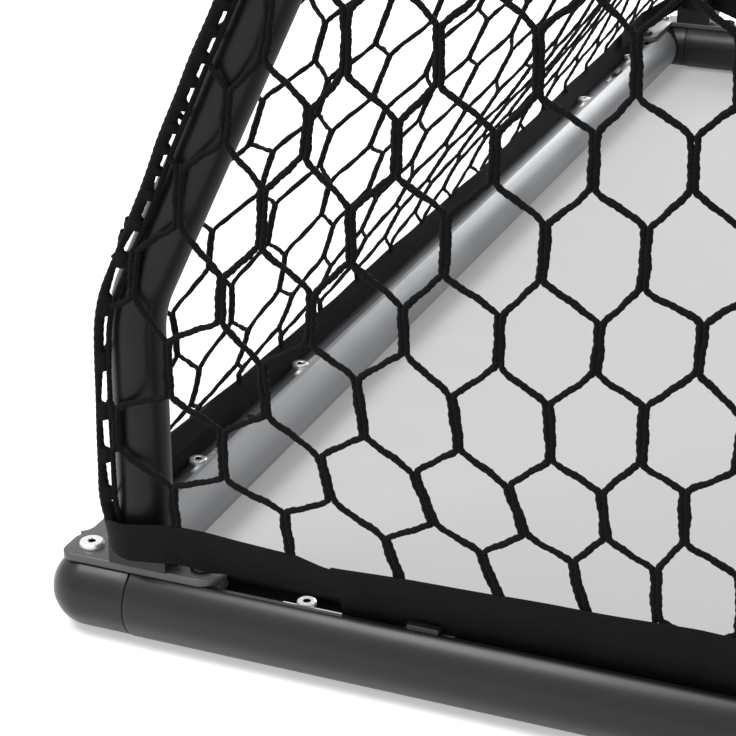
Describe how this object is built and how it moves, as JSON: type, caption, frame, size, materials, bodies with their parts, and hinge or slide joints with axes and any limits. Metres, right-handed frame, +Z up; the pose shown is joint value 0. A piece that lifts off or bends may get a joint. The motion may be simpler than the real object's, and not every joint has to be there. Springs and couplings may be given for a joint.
{
  "type": "golf chipping net",
  "caption": "Small goal-shaped chipping net: slotted round rails, bent rear uprights and a leaning hexagonal net held in the slots by webbing and clips.",
  "frame": {"origin": "middle of the footprint, on the ground", "axes": "+Z up, the open mouth faces -Y, the rear ground rail lies at +Y along X"},
  "size_m": [1.04, 0.4779, 0.8],
  "materials": {
    "rail": "satin",
    "rear_rail": "satin",
    "casting": "satin",
    "plate": "satin",
    "upright": "satin",
    "bright_steel": "brushed",
    "black_steel": "satin",
    "clip_metal": "satin",
    "clip_plastic": "matt",
    "webbing": "woven",
    "net": "twine"
  },
  "bodies": {
    "frame": {"clip_rings": "clip_metal", "clip_strips": "clip_metal", "crossbar": "rail", "crossing_screws": "bright_steel", "foot_socket_left": "casting", "foot_socket_right": "casting", "front_angle_plate_left": "plate", "front_angle_plate_right": "plate", "front_elbow_left": "casting", "front_elbow_right": "casting", "front_post_left": "rail", "front_post_right": "rail", "leg_screws": "black_steel", "lock_screws": "black_steel", "rear_corner_plate_left": "plate", "rear_corner_plate_right": "plate", "rear_elbow_left": "casting", "rear_elbow_right": "casting", "rear_net_lower": "net", "rear_net_upper": "net", "rear_rail": "rear_rail", "rear_upright_left": "upright", "rear_upright_right": "upright", "side_net_left": "net", "side_net_right": "net", "side_rail_left": "rail", "side_rail_right": "rail", "slot_nuts": "bright_steel", "top_corner_plate_left": "plate", "top_corner_plate_right": "plate", "top_elbow_left": "casting", "top_elbow_right": "casting", "top_net": "net", "top_socket_left": "casting", "top_socket_right": "casting", "webbing_corner_left": "webbing", "webbing_corner_right": "webbing", "webbing_crossbar": "webbing", "webbing_post_left": "webbing", "webbing_post_right": "webbing", "webbing_rear": "webbing", "webbing_side_left": "webbing", "webbing_side_right": "webbing"},
    "clip_side_left": {"slider_strip_side_left": "clip_metal", "slider_hook_side_left": "clip_plastic"},
    "clip_side_right": {"slider_strip_side_right": "clip_metal", "slider_hook_side_right": "clip_plastic"},
    "clip_rear_left": {"slider_strip_rear_left": "clip_metal", "slider_hook_rear_left": "clip_plastic"},
    "clip_rear_right": {"slider_strip_rear_right": "clip_metal", "slider_hook_rear_right": "clip_plastic"}
  },
  "joints": [
    {"name": "clip_slide_side_left", "type": "slide", "parent": "frame", "child": "clip_side_left", "axis": [0, -1, 0], "range_m": [-0.02, 0.035]},
    {"name": "clip_slide_side_right", "type": "slide", "parent": "frame", "child": "clip_side_right", "axis": [0, -1, 0], "range_m": [-0.02, 0.035]},
    {"name": "clip_slide_rear_left", "type": "slide", "parent": "frame", "child": "clip_rear_left", "axis": [1, 0, 0], "range_m": [-0.02, 0.035]},
    {"name": "clip_slide_rear_right", "type": "slide", "parent": "frame", "child": "clip_rear_right", "axis": [-1, 0, 0], "range_m": [-0.02, 0.035]}
  ]
}
